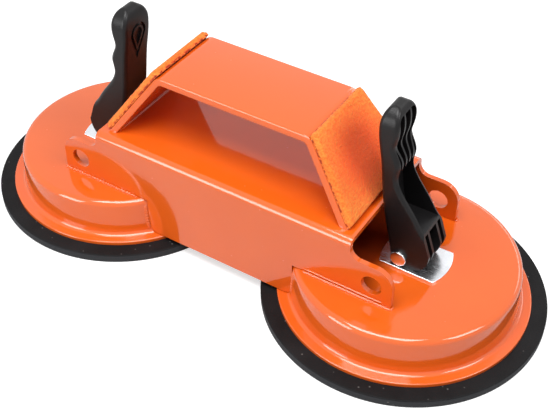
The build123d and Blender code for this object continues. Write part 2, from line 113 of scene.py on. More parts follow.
class LifterSizes(bpy.types.PropertyGroup):
    """Sizes of the pieces that are drawn finer than the CAD frame."""
    sheet: length("Cover sheet", 0.0016, "Thickness of the pressed cover")
    side_foot: length("Cover foot radius", 0.0474, "Radius where the cover's side meets its cove")
    side_top: length("Cover top radius", 0.0463, "Radius of the cover's side at its top")
    rim_round: length("Rim round", 0.0026, "Radius of the bend round the cover's top")
    cove_round: length("Cove round", 0.0018, "Radius of the bend between side and flange")
    flange_round: length("Flange round", 0.0005, "Radius of the flange's outer edge")
    slot_length: length("Slot length", 0.0082, "Length of the slot that the pull stud passes")
    slot_width: length("Slot width", 0.0056, "Width of the slot that the pull stud passes")
    rubber_edge: length("Rubber edge", 0.0006, "Radius of the rubber disc's outer edges")
    lip_groove: length("Lip groove", 0.0007, "Radius of the grooves between the sealing lips")
    web_inner: length("Web inner radius", 0.0371, "Where the rubber's thin web joins its middle")
    web_outer: length("Web outer radius", 0.0460, "Where the rubber's thin web joins its rim")
    web_rise: length("Web rise", 0.0006, "How far the web climbs towards the middle at rest")
    strip: length("Handle sheet", 0.0029, "Thickness of the handle's strip")
    strip_bend: length("Handle bend", 0.0055, "Outer radius of the handle's bends")
    strip_edge: length("Handle edge", 0.0005, "Radius of the strip's edges")
    grip_half: length("Grip half width", 0.0183, "Half the handle's width along the grip")
    grip_reach: length("Grip reach", 0.0354, "Half the length of the level grip")
    pad_thick: length("Pad thickness", 0.0031, "Thickness of the soft pads")
    pad_edge: length("Pad edge", 0.0009, "Radius of the pads' edges")
    pad_overhang: length("Pad overhang", 0.0006, "How far a pad runs past the bend")
    pad_swell: length("Pad swell", 0.00035, "Most that a pad may puff up")
    pin_round: length("Pin round", 0.00045, "Radius of the pin's rims")
    wire: length("Spring wire", 0.0015, "Diameter of the return spring's wire")
    channel_sheet: length("Channel sheet", 0.0022, "Thickness of the folded channel")
    edge_soft: length("Edge softening", 0.0004, "Width of the painted edges' rounding")
    corner_bead: length("Corner bead", 0.0013, "Radius of the weld beads on the skirts' ends")
    handle_bead: length("Handle bead", 0.0005, "Radius of the weld beads inside the handle's feet")
    ear_bead: length("Ear bead", 0.00055, "Radius of the seam along the ears' lower edges")
    turns: FloatProperty(name="Spring turns", default=2.25, min=1.0, max=6.0,
                         description="Turns of each return spring")
    around: IntProperty(name="Steps round a cup", default=192, min=48, max=512,
                        description="Faces round each cover and rubber disc")


class LifterColours(bpy.types.PropertyGroup):
    """Colours of the finishes."""
    paint: colour("Paint", (0.75, 0.116, 0.008), "Glossy orange powder coat")
    paint_deep: colour("Paint in its hollows", (0.67, 0.090, 0.006), "Where the coat lies thick")
    # Painted shade: a dark coat colour that stands in for the shade inside the channel
    paint_channel_shade: colour("Paint inside the channel", (0.17, 0.019, 0.003), "Thin, dark coat")
    rubber: colour("Rubber", (0.0030, 0.0028, 0.0032), "Moulded black rubber")
    rubber_bloom: colour("Rubber bloom", (0.030, 0.030, 0.032), "Pale bloom on the rubber")
    # Painted light: the paler colour of the rubber discs' sides, as the lamps would light them
    rubber_side_painted_light: colour("Rubber side", (0.032, 0.033, 0.036), "Bloomed side of the rubber discs")
    plastic: colour("Lever", (0.0062, 0.0056, 0.0060), "Satin black plastic")
    plastic_worn: colour("Worn lever", (0.0105, 0.0098, 0.0104), "Levers where they are handled")
    dust: colour("Dust", (0.22, 0.21, 0.20), "Specks on the rubber")
    steel: colour("Steel", (0.66, 0.66, 0.67), "Bare plated steel")
    bright: colour("Bright steel", (0.90, 0.92, 0.96), "Polished steel")
    felt_light: colour("Pad, light fibres", (1.0, 0.35, 0.058), "Pale fibres of the pads")
    felt_dark: colour("Pad, dark fibres", (1.0, 0.165, 0.024), "Dark fibres of the pads")
    # Colour that the pads turn towards their middles, darker and redder
    felt_middle: colour("Pad, rubbed middle", (1.0, 0.078, 0.014), "Where hands press the pads")
    # Colour of a broken dark line along the pads' backs, next to the handle's strip
    pad_back_line: colour("Pad glue", (0.42, 0.030, 0.009), "Broken line of glue at the pads' backs")
    floor: colour("Floor", (0.62, 0.62, 0.62), "Plain pale floor")


def sizes():
    return bpy.context.scene.lifter_sizes


def colours():
    return bpy.context.scene.lifter_colours


# Surfaces

def new_object(name, data):
    """Object at the origin, in the scene's own collection."""
    made = bpy.data.objects.new(name, data)
    bpy.context.scene.collection.objects.link(made)
    return made


def add_piece(name, points, body, finish, closed, sharp=35.0, shell=True):
    """Mesh of a grid of points, rows by columns; closed says which way the grid meets itself."""
    rows, columns = points.shape[:2]
    number = np.arange(rows * columns).reshape(rows, columns)
    if closed[0]:
        number = np.vstack([number, number[:1]])
    if closed[1]:
        number = np.hstack([number, number[:, :1]])
    quads = np.stack([number[:-1, :-1], number[1:, :-1], number[1:, 1:], number[:-1, 1:]], -1)
    mesh = bpy.data.meshes.new(name)
    mesh.from_pydata(points.reshape(-1, 3).tolist(), [], quads.reshape(-1, 4).tolist())
    close_mesh(mesh, shell)
    mesh.shade_smooth()
    mesh.set_sharp_from_angle(angle=math.radians(sharp))
    piece = new_object(name, mesh)
    mesh.materials.append(finish)
    if body:
        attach(piece, body)
    return piece


def close_mesh(mesh, shell):
    """Joins points that fall together, drops what has no area and turns the faces outwards."""
    work = bmesh.new()
    work.from_mesh(mesh)
    bmesh.ops.remove_doubles(work, verts=work.verts, dist=2e-7)
    bmesh.ops.dissolve_degenerate(work, dist=1e-8, edges=work.edges)
    if shell:
        bmesh.ops.recalc_face_normals(work, faces=work.faces)
    work.to_mesh(mesh)
    work.free()


def rounded_line(corners, radii, steps=7):
    """Corner points joined by straight runs, each corner cut by an arc of its own radius.

    At a corner the two runs leave at a turn t; the arc starts r tan(t / 2) before the corner and
    swings its radius from one run's normal to the other's in equal steps.
    """
    corners = np.asarray(corners, float)
    parts = []
    for index, (here, radius) in enumerate(zip(corners, radii)):
        if index in (0, len(corners) - 1) or radius <= 0:
            parts.append(here[None])
            continue
        back = corners[index - 1] - here
        ahead = corners[index + 1] - here
        back /= np.linalg.norm(back)
        ahead /= np.linalg.norm(ahead)
        turn = math.pi - math.acos(np.clip(back @ ahead, -1, 1))
        run = radius * math.tan(turn / 2)
        middle = back + ahead
        centre = here + middle / np.linalg.norm(middle) * radius / math.cos(turn / 2)
        first = here + back * run - centre
        last = here + ahead * run - centre
        t = np.linspace(0, 1, steps)[:, None]
        arc = np.sin((1 - t) * turn) * first + np.sin(t * turn) * last
        parts.append(centre + arc / math.sin(turn))
    return np.vstack(parts)


def revolve(outline, centre, steps, axis="z"):
    """Surface of revolution: radius r and height h of the outline, swung through angle a.

    Round Z a point is (r cos a, r sin a, h); round Y it is (r cos a, h, r sin a).
    """
    angle = np.linspace(0, 2 * math.pi, steps, endpoint=False)[:, None]
    radius, height = outline[:, 0][None], outline[:, 1][None]
    flat = radius * np.cos(angle), radius * np.sin(angle)
    level = height + 0 * angle
    order = (flat[0], flat[1], level) if axis == "z" else (flat[0], level, flat[1])
    return np.stack(order, -1) + np.asarray(centre, float)


def tube(path, radius, across):
    """Round tube: at each point of the path a circle of the given radius, square to the path.

    The circle's two directions are the path's side (tangent cross Z) and the cross product of
    that side with the tangent. The ends are closed by circles shrunk to a point.
    """
    path = np.asarray(path, float)
    radius = np.broadcast_to(radius, len(path))
    tangent = np.gradient(path, axis=0)
    tangent /= np.linalg.norm(tangent, axis=1)[:, None]
    reference = np.where(np.abs(tangent[:, 2:3]) > 0.9, [[1.0, 0.0, 0.0]], [[0.0, 0.0, 1.0]])
    side = np.cross(tangent, reference)
    side /= np.linalg.norm(side, axis=1)[:, None]
    up = np.cross(side, tangent)
    path, side, up = (np.vstack([rows[:1], rows, rows[-1:]]) for rows in (path, side, up))
    radius = np.concatenate([[0.0], radius, [0.0]])
    angle = np.linspace(0, 2 * math.pi, across, endpoint=False)[None, :, None]
    ring = np.cos(angle) * side[:, None] + np.sin(angle) * up[:, None]
    return path[:, None] + ring * radius[:, None, None]


def softened_copy(node, name, body, finish, width, segments=3):
    """Copy of a CAD node with its loose triangles joined and its sharp edges rounded."""
    sharp = math.radians(40.0)
    mesh = frame["nodes"][node].data.copy()
    mesh.name = name
    mesh.materials.clear()
    if mesh.has_custom_normals:
        mesh.attributes.remove(mesh.attributes["custom_normal"])
    work = bmesh.new()
    work.from_mesh(mesh)
    bmesh.ops.remove_doubles(work, verts=work.verts, dist=1e-6)
    bmesh.ops.dissolve_limit(work, angle_limit=math.radians(0.6), verts=work.verts,
                             edges=work.edges)
    for face in work.faces:
        face.smooth = True
    work.to_mesh(mesh)
    work.free()
    mesh.set_sharp_from_angle(angle=sharp)
    piece = new_object(name, mesh)
    mesh.materials.append(finish)
    bevel = piece.modifiers.new("Rounded edges", "BEVEL")
    bevel.width = width
    bevel.segments = segments
    bevel.limit_method = "ANGLE"
    bevel.angle_limit = sharp
    bevel.harden_normals = True
    bevel.miter_outer = "MITER_ARC"
    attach(piece, body)
    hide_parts(node)
    return piece


def dress(node, finish):
    """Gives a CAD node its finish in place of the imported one."""
    materials = frame["nodes"][node].data.materials
    materials.clear()
    materials.append(finish)


def handle_leg():
    """Foot of the handle's right leg, the directions up it and out of it, and its length."""
    rise, run = HANDLE_HIGH.z - HANDLE_LOW.z, HANDLE_HIGH.x - sizes().grip_reach
    reach = math.hypot(rise, run)
    foot = np.array([HANDLE_HIGH.x, 0, HANDLE_LOW.z])
    return foot, np.array([-run, 0, rise]) / reach, np.array([rise, 0, run]) / reach, reach


def strip_half(share_up):
    """Half the strip's width: it falls in a straight line from the leg's foot to its top."""
    return HANDLE_HIGH.y + (sizes().grip_half - HANDLE_HIGH.y) * np.clip(share_up, 0, 1)


# Finishes

class Nodes:
    """Short way to lay out one node tree."""

    def __init__(self, tree):
        self.tree = tree
        self.column = 0

    def add(self, kind, **values):
        node = self.tree.nodes.new(kind)
        self.column += 1
        node.location = (220 * (self.column % 6) - 1200, -260 * (self.column // 6))
        inputs = values.pop("inputs", {})
        for key, value in values.items():
            setattr(node, key, value)
        self.plug(node.inputs, inputs)
        return node

    def plug(self, sockets, values):
        """Links each socket that is given a node's output, and sets the others to their values;
        colours are given without their alpha."""
        for key, value in values.items():
            if isinstance(value, bpy.types.NodeSocket):
                self.tree.links.new(value, sockets[key])
            elif sockets[key].type == "RGBA":
                sockets[key].default_value = (*value, 1.0)
            else:
                sockets[key].default_value = value

    def math(self, operation, first, second=0.0, third=0.0):
        values = {0: first, 1: second, 2: third}
        return self.add("ShaderNodeMath", operation=operation, inputs=values).outputs[0]

    def ramp(self, value, start, end, **settings):
        """Nought at the start value, one at the end value, and even in between."""
        values = {0: value, 1: start, 2: end}
        return self.add("ShaderNodeMapRange", inputs=values, **settings).outputs[0]

    def mix(self, amount, first, second, blend="MIX"):
        """Mix of two colours."""
        return self.add("ShaderNodeMix", data_type="RGBA", blend_type=blend,
                        inputs={0: amount, 6: first, 7: second}).outputs[2]

    def noise(self, vector, scale, **settings):
        """Noise texture's value."""
        values = {"Vector": vector, "Scale": scale, **settings}
        return self.add("ShaderNodeTexNoise", inputs=values).outputs[0]


# Kinds of the groups' sockets that carry more than one number
SOCKET_KINDS = {"Vector": "Vector", "Main": "Color", "Other": "Color", "Colour": "Color"}


def shared_group(name, inputs, outputs):
    """Has a maker fill a new node group once; each use adds a node of that group to a tree."""
    def wrap(maker):
        def use(tree, place, **values):
            group = bpy.data.node_groups.get(name)
            if group is None:
                group = bpy.data.node_groups.new(name, "ShaderNodeTree")
                for way, labels in (("INPUT", inputs), ("OUTPUT", outputs)):
                    for label in labels:
                        kind = "NodeSocket" + SOCKET_KINDS.get(label, "Float")
                        group.interface.new_socket(label, in_out=way, socket_type=kind)
                inner = Nodes(group)
                given = inner.add("NodeGroupInput").outputs
                inner.plug(inner.add("NodeGroupOutput").inputs, maker(inner, given))
            named = {key.replace("_", " ").capitalize(): value for key, value in values.items()}
            named["Vector"] = place
            return tree.add("ShaderNodeGroup", node_tree=group, inputs=named).outputs
        return use
    return wrap


@shared_group("Surface grain", ("Vector", "Scale", "Fine share", "Contrast"), ("Height", "Mask"))
def surface_grain(tree, given):
    """Noise at one size, with finer noise on it: a height and a soft mask."""
    coarse = tree.noise(given["Vector"], given["Scale"], Detail=2.0, Roughness=0.5)
    fine_scale = tree.math("MULTIPLY", given["Scale"], 4.3)
    fine = tree.noise(given["Vector"], fine_scale, Detail=3.0, Roughness=0.6)
    centred = tree.math("SUBTRACT", coarse, 0.5)
    spread = tree.math("MULTIPLY_ADD", centred, given["Contrast"], 0.5)
    mask = tree.add("ShaderNodeClamp", inputs={0: spread}).outputs[0]
    return {"Height": tree.math("MULTIPLY_ADD", fine, given["Fine share"], coarse), "Mask": mask}


@shared_group("Dust specks", ("Vector", "Scale", "Share"), ("Mask",))
def dust_specks(tree, given):
    """Dust and small flecks: cells whose random value passes a limit, faded towards their rims."""
    cells = tree.add("ShaderNodeTexVoronoi",
                     inputs={"Vector": given["Vector"], "Scale": given["Scale"]}).outputs
    chosen = tree.add("ShaderNodeTexWhiteNoise", inputs={"Vector": cells["Position"]})
    limit = tree.math("LESS_THAN", chosen.outputs["Value"], given["Share"])
    fade = tree.ramp(cells["Distance"], 0.3, 0.12)
    return {"Mask": tree.math("MULTIPLY", limit, fade)}


@shared_group("Tone drift", ("Vector", "Scale", "Main", "Other", "Amount"), ("Colour", "Mask"))
def tone_drift(tree, given):
    """Slow change of tone between two colours, as paint and rubber have over a large face."""
    cloud = tree.noise(given["Vector"], given["Scale"], Detail=3.0, Distortion=0.4)
    reach = tree.ramp(cloud, 0.35, 0.7)
    amount = tree.math("MULTIPLY", reach, given["Amount"])
    return {"Colour": tree.mix(amount, given["Main"], given["Other"]), "Mask": reach}


def shared_finish(name):
    """Has a maker fill a new material once; after that, the material it filled is given."""
    def wrap(maker):
        def give(*values):
            material = bpy.data.materials.get(name)
            if material is None:
                material = bpy.data.materials.new(name)
                material.use_nodes = True
                tree = Nodes(material.node_tree)
                place = tree.add("ShaderNodeTexCoord").outputs["Object"]
                shader = material.node_tree.nodes["Principled BSDF"]
                tree.plug(shader.inputs, maker(tree, place, *values))
            return material
        return give
    return wrap


def bump(tree, height, strength, distance):
    values = {"Height": height, "Strength": strength, "Distance": distance}
    return tree.add("ShaderNodeBump", inputs=values).outputs[0]


def painted_channel_shade(tree, place):
    """Mask of the painted shade inside the channel and on the covers' tops in it: a box in |x|,
    |y| and z, with soft walls."""
    axes = tree.add("ShaderNodeSeparateXYZ", inputs={0: place}).outputs
    side = CHANNEL_HIGH.y - sizes().channel_sheet
    web = CHANNEL_HIGH.z - sizes().channel_sheet
    soft = 0.0003
    walls = ((tree.math("ABSOLUTE", axes[0]), CUP_X + 0.001, CUP_X - 0.010),
             (tree.math("ABSOLUTE", axes[1]), side + soft, side - soft),
             (axes[2], web + soft, web - soft),
             (axes[2], COVER_HIGH.z - 0.0005, COVER_HIGH.z - 0.0001))
    mask = 1.0
    for value, outside, inside in walls:
        mask = tree.math("MULTIPLY", tree.ramp(value, outside, inside), mask)
    return mask


@shared_finish("Orange powder coat")
def powder_coat(tree, place):
    """Glossy orange powder coat: slow tone drift, orange peel, a few dust nibs under the gloss,
    and painted shade inside the channel.
    """
    shade = tone_drift(tree, place, scale=26.0, main=colours().paint,
                       other=colours().paint_deep, amount=0.35)
    # Painted shade: the coat is mixed to a dark colour inside the channel, where shade falls
    coat = tree.mix(painted_channel_shade(tree, place), shade["Colour"], colours().paint_channel_shade)
    peel = surface_grain(tree, place, scale=330.0, fine_share=0.12, contrast=1.2)
    nibs = dust_specks(tree, place, scale=420.0, share=0.02)
    rough = tree.math("MULTIPLY_ADD", peel["Mask"], 0.05, 0.07)
    height = tree.math("MULTIPLY_ADD", nibs["Mask"], 0.25, peel["Height"])
    return {"Base Color": coat, "Roughness": tree.math("MULTIPLY_ADD", nibs["Mask"], 0.2, rough),
            "IOR": 1.5, "Coat Weight": 0.55, "Coat Roughness": 0.03,
            "Normal": bump(tree, height, 0.07, 0.0004)}


@shared_finish("Moulded rubber")
def moulded_rubber(tree, place):
    """Matt black rubber: faint bloom, fine grain and pale dust, with painted light that makes
    its side paler than its top face.
    """
    shade = tone_drift(tree, place, scale=45.0, main=colours().rubber,
                       other=colours().rubber_bloom, amount=0.25)
    height = tree.add("ShaderNodeSeparateXYZ", inputs={0: place}).outputs[2]
    # Painted light: below its top face the rubber is painted paler
    flank = tree.ramp(height, COVER_LOW.z - 0.0002, COVER_LOW.z - 0.0006)
    toned = tree.mix(flank, shade["Colour"], colours().rubber_side_painted_light)
    specks = dust_specks(tree, place, scale=700.0, share=0.035)
    dust = tree.math("MULTIPLY", specks["Mask"], 0.5)
    grain = surface_grain(tree, place, scale=1500.0, fine_share=0.5, contrast=1.5)
    return {"Base Color": tree.mix(dust, toned, colours().dust),
            "Roughness": tree.math("MULTIPLY_ADD", grain["Mask"], 0.18, 0.55),
            "Specular IOR Level": 0.14, "Normal": bump(tree, grain["Height"], 0.35, 0.00025)}


@shared_finish("Satin black plastic")
def satin_plastic(tree, place):
    """Black satin plastic: fine spark-eroded grain and a faint drift of tone and gloss."""
    shade = tone_drift(tree, place, scale=70.0, main=colours().plastic,
                       other=colours().plastic_worn, amount=0.6)
    grain = surface_grain(tree, place, scale=1900.0, fine_share=0.4, contrast=1.4)
    rough = tree.math("MULTIPLY_ADD", grain["Mask"], 0.10, 0.27)
    return {"Base Color": shade["Colour"],
            "Roughness": tree.math("MULTIPLY_ADD", shade["Mask"], 0.06, rough),
            "Specular IOR Level": 0.27, "Normal": bump(tree, grain["Height"], 0.22, 0.00012)}


def rolled_steel(tree, place, tone, rough_low, rough_high, stretch, strength):
    """Steel with drawn or rolled lines: noise stretched one way, on roughness and bump."""
    lines = tree.add("ShaderNodeMapping", inputs={"Vector": place, "Scale": stretch}).outputs[0]
    grain = surface_grain(tree, lines, scale=240.0, fine_share=0.5, contrast=1.8)
    shade = tone_drift(tree, place, scale=120.0, main=tone,
                       other=[channel * 0.78 for channel in tone], amount=0.6)
    rough = tree.math("MULTIPLY_ADD", grain["Mask"], rough_high - rough_low, rough_low)
    return {"Base Color": shade["Colour"], "Metallic": 1.0, "Roughness": rough,
            "Normal": bump(tree, grain["Height"], strength, 0.0001)}


@shared_finish("Polished steel")
def polished_steel(tree, place):
    return rolled_steel(tree, place, colours().bright, 0.16, 0.30, (1.0, 9.0, 9.0), 0.12)


@shared_finish("Plated steel")
def drawn_steel(tree, place):
    return rolled_steel(tree, place, colours().steel, 0.24, 0.42, (6.0, 6.0, 1.0), 0.2)


def back_line_mask(tree, place, folded):
    """Mask of a dark line near the sloping leg's plane, broken up by grain."""
    foot, _, out, _ = handle_leg()
    level = tree.add("ShaderNodeVectorMath", operation="DOT_PRODUCT", inputs={0: folded, 1: out})
    near = tree.ramp(level.outputs["Value"], foot @ out + 0.0012, foot @ out + 0.0006)
    broken = surface_grain(tree, place, scale=620.0, fine_share=0.3, contrast=6.0)
    return tree.math("MULTIPLY", near, broken["Mask"])


def fibres(tree, place, scale, stretch, turn):
    """Grain stretched one way, as a layer of felt's fibres."""
    values = {"Vector": place, "Scale": stretch, "Rotation": turn}
    laid = tree.add("ShaderNodeMapping", inputs=values).outputs[0]
    return surface_grain(tree, laid, scale=scale, fine_share=0.6, contrast=3.6)


@shared_finish("Orange felt")
def pad_felt(tree, place):
    """Orange felt: two layers of fibres, a darker middle, a broken dark line at the back, sheen
    and bump.
    """
    first = fibres(tree, place, 1500.0, (1, 0.35, 1), (0.4, 0.2, 0.5))
    second = fibres(tree, place, 1100.0, (0.4, 1, 1), (0.1, 0.6, -0.7))
    both = tree.math("MULTIPLY", tree.math("ADD", first["Mask"], second["Mask"]), 0.5)
    shade = tree.mix(both, colours().felt_dark, colours().felt_light)
    folded = tree.add("ShaderNodeVectorMath", operation="ABSOLUTE", inputs={0: place}).outputs[0]
    middle = ((HANDLE_HIGH.x + sizes().grip_reach) / 2, 0.0, (HANDLE_LOW.z + HANDLE_HIGH.z) / 2)
    away = tree.add("ShaderNodeVectorMath", operation="DISTANCE", inputs={0: folded, 1: middle})
    # Darker and redder towards each pad's middle
    darker = tree.ramp(away.outputs["Value"], 0.027, 0.007, interpolation_type="SMOOTHSTEP")
    darker = tree.math("MULTIPLY", darker, 0.85)
    shade = tree.mix(darker, shade, colours().felt_middle)
    # A broken dark line along the pads' backs, next to the strip
    shade = tree.mix(back_line_mask(tree, place, folded), shade, colours().pad_back_line)
    toned = tone_drift(tree, place, scale=60.0, main=(1, 1, 1), other=(0.90, 0.82, 0.74),
                      amount=0.6)
    height = tree.math("ADD", first["Height"], second["Height"])
    return {"Base Color": tree.mix(1.0, shade, toned["Colour"], blend="MULTIPLY"),
            "Roughness": tree.math("MULTIPLY_ADD", both, 0.1, 0.85),
            "Sheen Weight": 0.35, "Sheen Roughness": 0.5, "Sheen Tint": (1.0, 0.5, 0.3),
            "Specular IOR Level": 0.2, "Normal": bump(tree, height, 0.75, 0.0005)}


@shared_finish("Pale floor")
def pale_floor(tree, place):
    """Matt floor that the camera sees near white; mirrored in the object it glows a little."""
    drift = tone_drift(tree, place, scale=3.0, main=colours().floor,
                       other=[channel * 0.98 for channel in colours().floor], amount=0.5)
    path = tree.add("ShaderNodeLightPath").outputs
    mirrored = tree.math("MULTIPLY", path["Is Glossy Ray"], 0.12)
    glow = tree.math("MULTIPLY_ADD", path["Is Camera Ray"], 0.60, mirrored)
    return {"Base Color": drift["Colour"], "Roughness": 0.9, "Specular IOR Level": 0.0,
            "Emission Color": (1, 1, 1), "Emission Strength": glow}


# Pieces

class LIFTER_OT_covers(bpy.types.Operator):
    """Pressed covers: a sheet outline, swung round each cup's axis, with a slot in the middle."""
    bl_idname = "lifter.covers"
    bl_label = "Cup covers"

    def execute(self, context):
        for side, sign in SIDES.items():
            self.cover(side, sign)
        return {"FINISHED"}

    def cover(self, side, sign):
        s = sizes()
        base, top = COVER_LOW.z, COVER_HIGH.z
        flange = (COVER_HIGH.x - COVER_LOW.x) / 2
        hole = math.hypot(s.slot_length, s.slot_width) / 2
        outer = rounded_line(
            [(hole, top), (SLOT_FADE, top), (TOP_RING, top), (s.side_top, top),
             (s.side_foot, base + s.sheet), (flange, base + s.sheet), (flange, base)],
            [0, 0, 0, s.rim_round, s.cove_round, s.flange_round, 0], steps=9)
        inner = rounded_line(
            [(s.side_foot - s.sheet, base), (s.side_top - s.sheet, top - s.sheet),
             (SLOT_FADE, top - s.sheet), (hole, top - s.sheet)],
            [0, s.rim_round - s.sheet, 0, 0])
        outline = np.vstack([outer, inner])
        points = self.square_slot(revolve(outline, (0, 0, 0), s.around), outline, hole)
        points[..., 0] += sign * CUP_X
        piece = add_piece(f"cover_{side}", points, "frame", powder_coat(),
                          closed=(True, True))
        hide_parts(f"cup_cover_{side}")

    def square_slot(self, points, outline, hole):
        """Draws the round hole in to the slot: a rectangle's reach at angle a is the lesser of
        half length / |cos a| and half width / |sin a|; it fades to the circle of SLOT_FADE."""
        s = sizes()
        angle = np.arctan2(points[..., 1], points[..., 0])
        reach = np.minimum(s.slot_length / 2 / np.maximum(np.abs(np.cos(angle)), 1e-6),
                           s.slot_width / 2 / np.maximum(np.abs(np.sin(angle)), 1e-6))
        radius = np.broadcast_to(outline[:, 0][None], angle.shape)
        fade = np.clip((radius - hole) / (SLOT_FADE - hole), 0, 1)
        inside = radius < SLOT_FADE + 0.0001
        drawn = np.where(inside, reach + fade * (SLOT_FADE - reach), radius)
        points[..., 0] = drawn * np.cos(angle)
        points[..., 1] = drawn * np.sin(angle)
        return points


class LIFTER_OT_rubber(bpy.types.Operator):
    """Rubber discs: a rim on the frame, a middle on the stud, and thin webs that dome between."""
    bl_idname = "lifter.rubber"
    bl_label = "Rubber discs"

    def execute(self, context):
        for side, sign in SIDES.items():
            self.disc(side, sign)
        return {"FINISHED"}

    def disc(self, side, sign):
        s = sizes()
        finish = moulded_rubber()
        centre = (sign * CUP_X, 0, 0)
        thick = COVER_LOW.z
        rim = (DISC_HIGH.x - DISC_LOW.x) / 2
        high, collar_round = DISC_HIGH.z, 0.0005
        grooves = [self.groove(radius, s.lip_groove) for radius in GROOVES]
        edge = rounded_line([(UNDER_RING, 0), (rim, 0), (rim, thick), (OVER_RING, thick)],
                            [0, s.rubber_edge, s.rubber_edge, 0])
        outline = np.vstack([[(s.web_outer, thick), (s.web_outer, 0)], *grooves, edge])
        rim_piece = add_piece(f"rubber_rim_{side}", revolve(outline, centre, s.around), "frame",
                              finish, closed=(True, True))
        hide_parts(f"rubber_disc_{side}")
        collar = PLATE_HIGH.x - CUP_X + 0.0001
        middle = rounded_line(
            [(0, s.web_rise), (s.web_inner, s.web_rise), (s.web_inner, high), (collar, high),
             (collar, thick), (0, thick)],
            [0, 0, collar_round, collar_round, 0, 0], steps=5)
        add_piece(f"rubber_middle_{side}", revolve(middle, centre, s.around), f"stud_{side}",
                  finish, closed=(True, False))
        for name, level in (("under", 0.0), ("over", thick)):
            self.web(side, centre, name, level, finish)

    def groove(self, radius, size):
        """Half circle cut into the underside: radius r + g cos a, height g sin a."""
        angle = np.linspace(math.pi, 0, 9)
        return np.column_stack([radius + size * np.cos(angle), size * np.sin(angle)])

    def web(self, side, centre, name, level, finish):
        """Ring from rim to middle, its height rising with a half cosine as its radius falls."""
        s = sizes()
        t = np.linspace(0, 1, 15)
        radius = s.web_outer + (s.web_inner - s.web_outer) * t
        outline = np.column_stack([radius, level + s.web_rise * (1 - np.cos(math.pi * t)) / 2])
        if level > 0:
            outline = outline[::-1]
        piece = add_piece(f"rubber_web_{name}_{side}", revolve(outline, centre, s.around), None,
                          finish, closed=(True, False), shell=False)
        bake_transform(piece)


class LIFTER_OT_handle(bpy.types.Operator):
    """Carrying handle: a flat strip carried along a bent line, widening down both legs."""
    bl_idname = "lifter.handle"
    bl_label = "Carrying handle"

    def execute(self, context):
        s = sizes()
        foot, low, high = HANDLE_HIGH.x, HANDLE_LOW.z, HANDLE_HIGH.z
        grip = s.grip_reach
        bend, between = 17, 6
        line = rounded_line([(-foot, low), (-grip, high), (grip, high), (foot, low)],
                            [0, s.strip_bend, s.strip_bend, 0], steps=bend)
        runs = [np.linspace(line[i], line[i + 1], between + 2)[1:-1] for i in (0, bend, 2 * bend)]
        line = np.vstack([line[:1], runs[0], line[1:bend + 1], runs[1], line[bend + 1:-1],
                          runs[2], line[-1:]])
        along = np.gradient(line, axis=0)
        along /= np.linalg.norm(along, axis=1)[:, None]
        inward = np.column_stack([along[:, 1], -along[:, 0]])
        _, _, out, _ = handle_leg()
        inward[1:between + 2], inward[-between - 2:-1] = (out[0], -out[2]), (-out[0], -out[2])
        inward[0], inward[-1] = (1 / out[0], 0), (-1 / out[0], 0)
        across, inset, sign = self.section()
        flat = line[:, None] + inward[:, None] * across[None, :, None]
        half = strip_half((flat[..., 1] - low) / (high - low))
        points = np.stack([flat[..., 0], sign * (half - inset), flat[..., 1]], -1)
        ends = points.mean(axis=1, keepdims=True) + 0 * points
        points = np.concatenate([ends[:1], points, ends[-1:]])
        piece = add_piece("carrying_handle", points, "frame", powder_coat(),
                          closed=(False, True))
        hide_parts("handle")
        return {"FINISHED"}

    def section(self):
        """Strip's section from outer face to inner: depth, set-back from the edge and side, with
        quarter-circle corners of radius r (depth r (1 - cos a), set-back r (1 - sin a))."""
        s = sizes()
        angle = np.linspace(0, math.pi / 2, 5)
        r = s.strip_edge
        depth = np.concatenate([r * (1 - np.cos(angle)), s.strip - r * (1 - np.cos(angle[::-1]))])
        back = np.concatenate([r * (1 - np.sin(angle)), r * (1 - np.sin(angle[::-1]))])
        side = np.ones_like(depth)
        return (np.concatenate([depth, depth[::-1]]), np.concatenate([back, back[::-1]]),
                np.concatenate([side, -side]))


